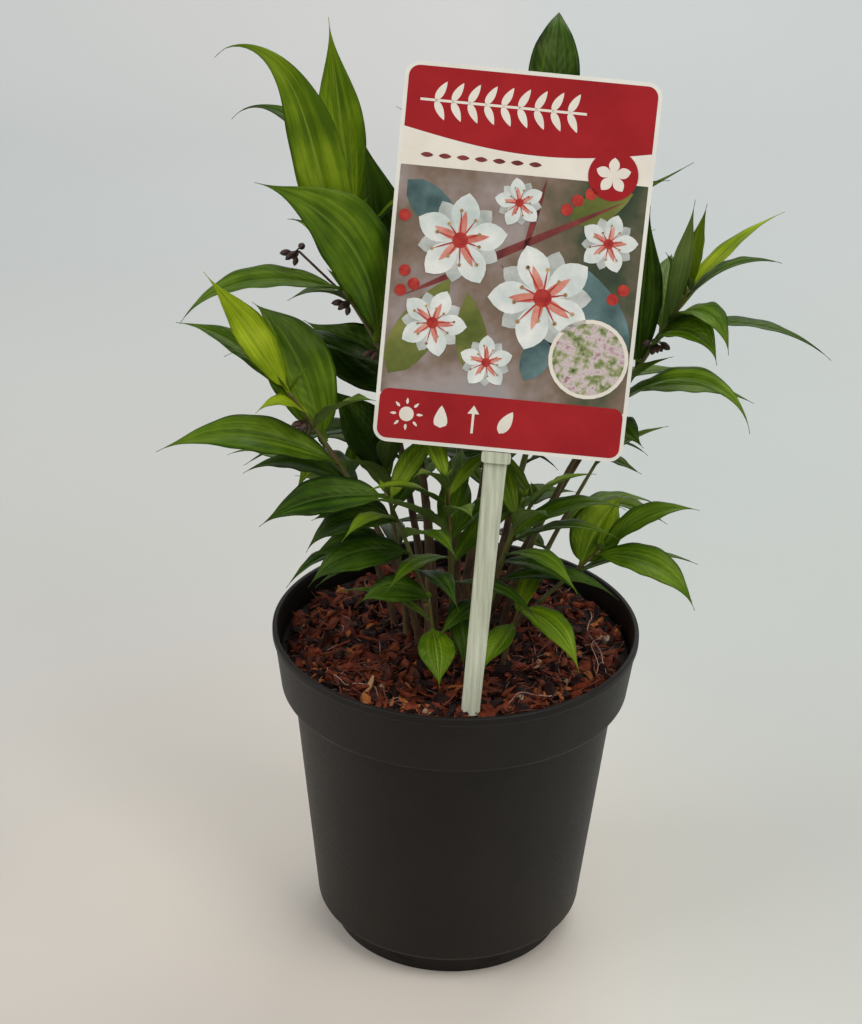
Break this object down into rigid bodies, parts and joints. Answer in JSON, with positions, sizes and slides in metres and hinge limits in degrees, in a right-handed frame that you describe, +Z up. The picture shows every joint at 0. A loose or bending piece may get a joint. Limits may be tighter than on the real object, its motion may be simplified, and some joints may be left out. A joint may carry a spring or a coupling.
{
  "type": "potted sweet box shrub",
  "caption": "Small evergreen sweet box shrub with glossy pointed leaves on arching shoots, in a tapered black nursery pot with a wordless flower-printed care label on a stake.",
  "frame": {"origin": "middle of the pot's flat underside, where it meets the surface that it stands on", "axes": "+Z up the plant, -Y out of the front, which the label's printed face leans back from, +X to the label's right seen from the front"},
  "size_m": [0.2756, 0.1835, 0.4101],
  "materials": {
    "pot": "matte black nursery plastic with faint scuffs",
    "compost": "rough red-brown bark chips and coir",
    "stem": "green-brown bark",
    "foliage": "glossy evergreen leaf",
    "label_card": "printed card with a satin film",
    "label_stake": "translucent white moulded plastic"
  },
  "bodies": {
    "root": {"compost": "compost", "label_card": "label_card", "label_stake": "label_stake", "pot": "pot", "shoot_back": "foliage", "shoot_back_left": "foliage", "shoot_back_right": "foliage", "shoot_basal_left": "foliage", "shoot_basal_right": "foliage", "shoot_crown": "foliage", "shoot_front": "foliage", "shoot_front_right": "foliage", "shoot_high_left": "foliage", "shoot_inner_left": "foliage", "shoot_inner_right": "foliage", "shoot_low_back": "foliage", "shoot_low_back_left": "foliage", "shoot_low_back_right": "foliage", "shoot_low_left": "foliage", "shoot_low_right": "foliage", "shoot_mid_left": "foliage", "shoot_mid_right": "foliage", "shoot_tall_left": "foliage", "shoot_tall_right": "foliage", "stem_back": "stem", "stem_back_left": "stem", "stem_back_right": "stem", "stem_basal_left": "stem", "stem_basal_right": "stem", "stem_crown": "stem", "stem_front": "stem", "stem_front_right": "stem", "stem_high_left": "stem", "stem_inner_left": "stem", "stem_inner_right": "stem", "stem_low_back": "stem", "stem_low_back_left": "stem", "stem_low_back_right": "stem", "stem_low_left": "stem", "stem_low_right": "stem", "stem_mid_left": "stem", "stem_mid_right": "stem", "stem_tall_left": "stem", "stem_tall_right": "stem"}
  },
  "joints": []
}
